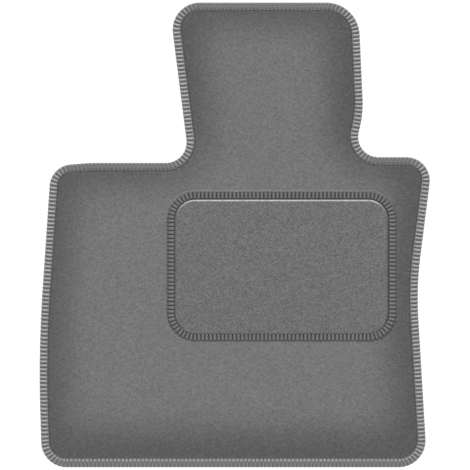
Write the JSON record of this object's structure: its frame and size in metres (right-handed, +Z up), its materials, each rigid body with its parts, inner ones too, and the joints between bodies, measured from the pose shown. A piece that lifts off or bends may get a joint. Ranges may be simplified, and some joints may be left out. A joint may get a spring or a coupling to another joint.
{
  "type": "floor mat",
  "caption": "Grey carpet footwell mat with a narrow toe neck, a whipped yarn edge, a sewn-on carpet heel pad and an anti-slip backing.",
  "frame": {"origin": "on the floor plane, under the middle of the mat's outline box", "axes": "+Y from the heel edge to the toe edge, +Z up out of the pile, +X to the right of someone whose feet are on the mat"},
  "size_m": [0.5458, 0.65, 0.0082],
  "materials": {
    "carpet_pile": "matt tufted velour pile, mid grey",
    "heel_pad_pile": "matt dense tufted pile, mid grey",
    "edge_yarn": "bulked overlock yarn, light grey, slight sheen",
    "heel_pad_yarn": "bulked overlock yarn, mid grey",
    "sewing_thread": "twisted sewing thread, grey",
    "primary_backing": "bonded backing cloth that holds the tufts",
    "heel_pad_backing": "latex-bonded backing cloth, dark grey",
    "anti_slip_backing": "matt black anti-slip rubber crumb"
  },
  "bodies": {
    "root": {"anti_slip_backing": "anti_slip_backing", "primary_backing": "primary_backing", "pile_carpet": "carpet_pile", "edge_upper_yarn": "edge_yarn", "edge_lower_yarn": "edge_yarn", "edge_needle_thread": "sewing_thread", "heel_pad_backing": "heel_pad_backing", "heel_pad_pile": "heel_pad_pile", "heel_pad_upper_yarn": "heel_pad_yarn", "heel_pad_lower_yarn": "heel_pad_yarn", "heel_pad_needle_thread": "sewing_thread", "heel_pad_seam_thread": "sewing_thread", "heel_pad_bobbin_thread": "sewing_thread"}
  },
  "joints": []
}
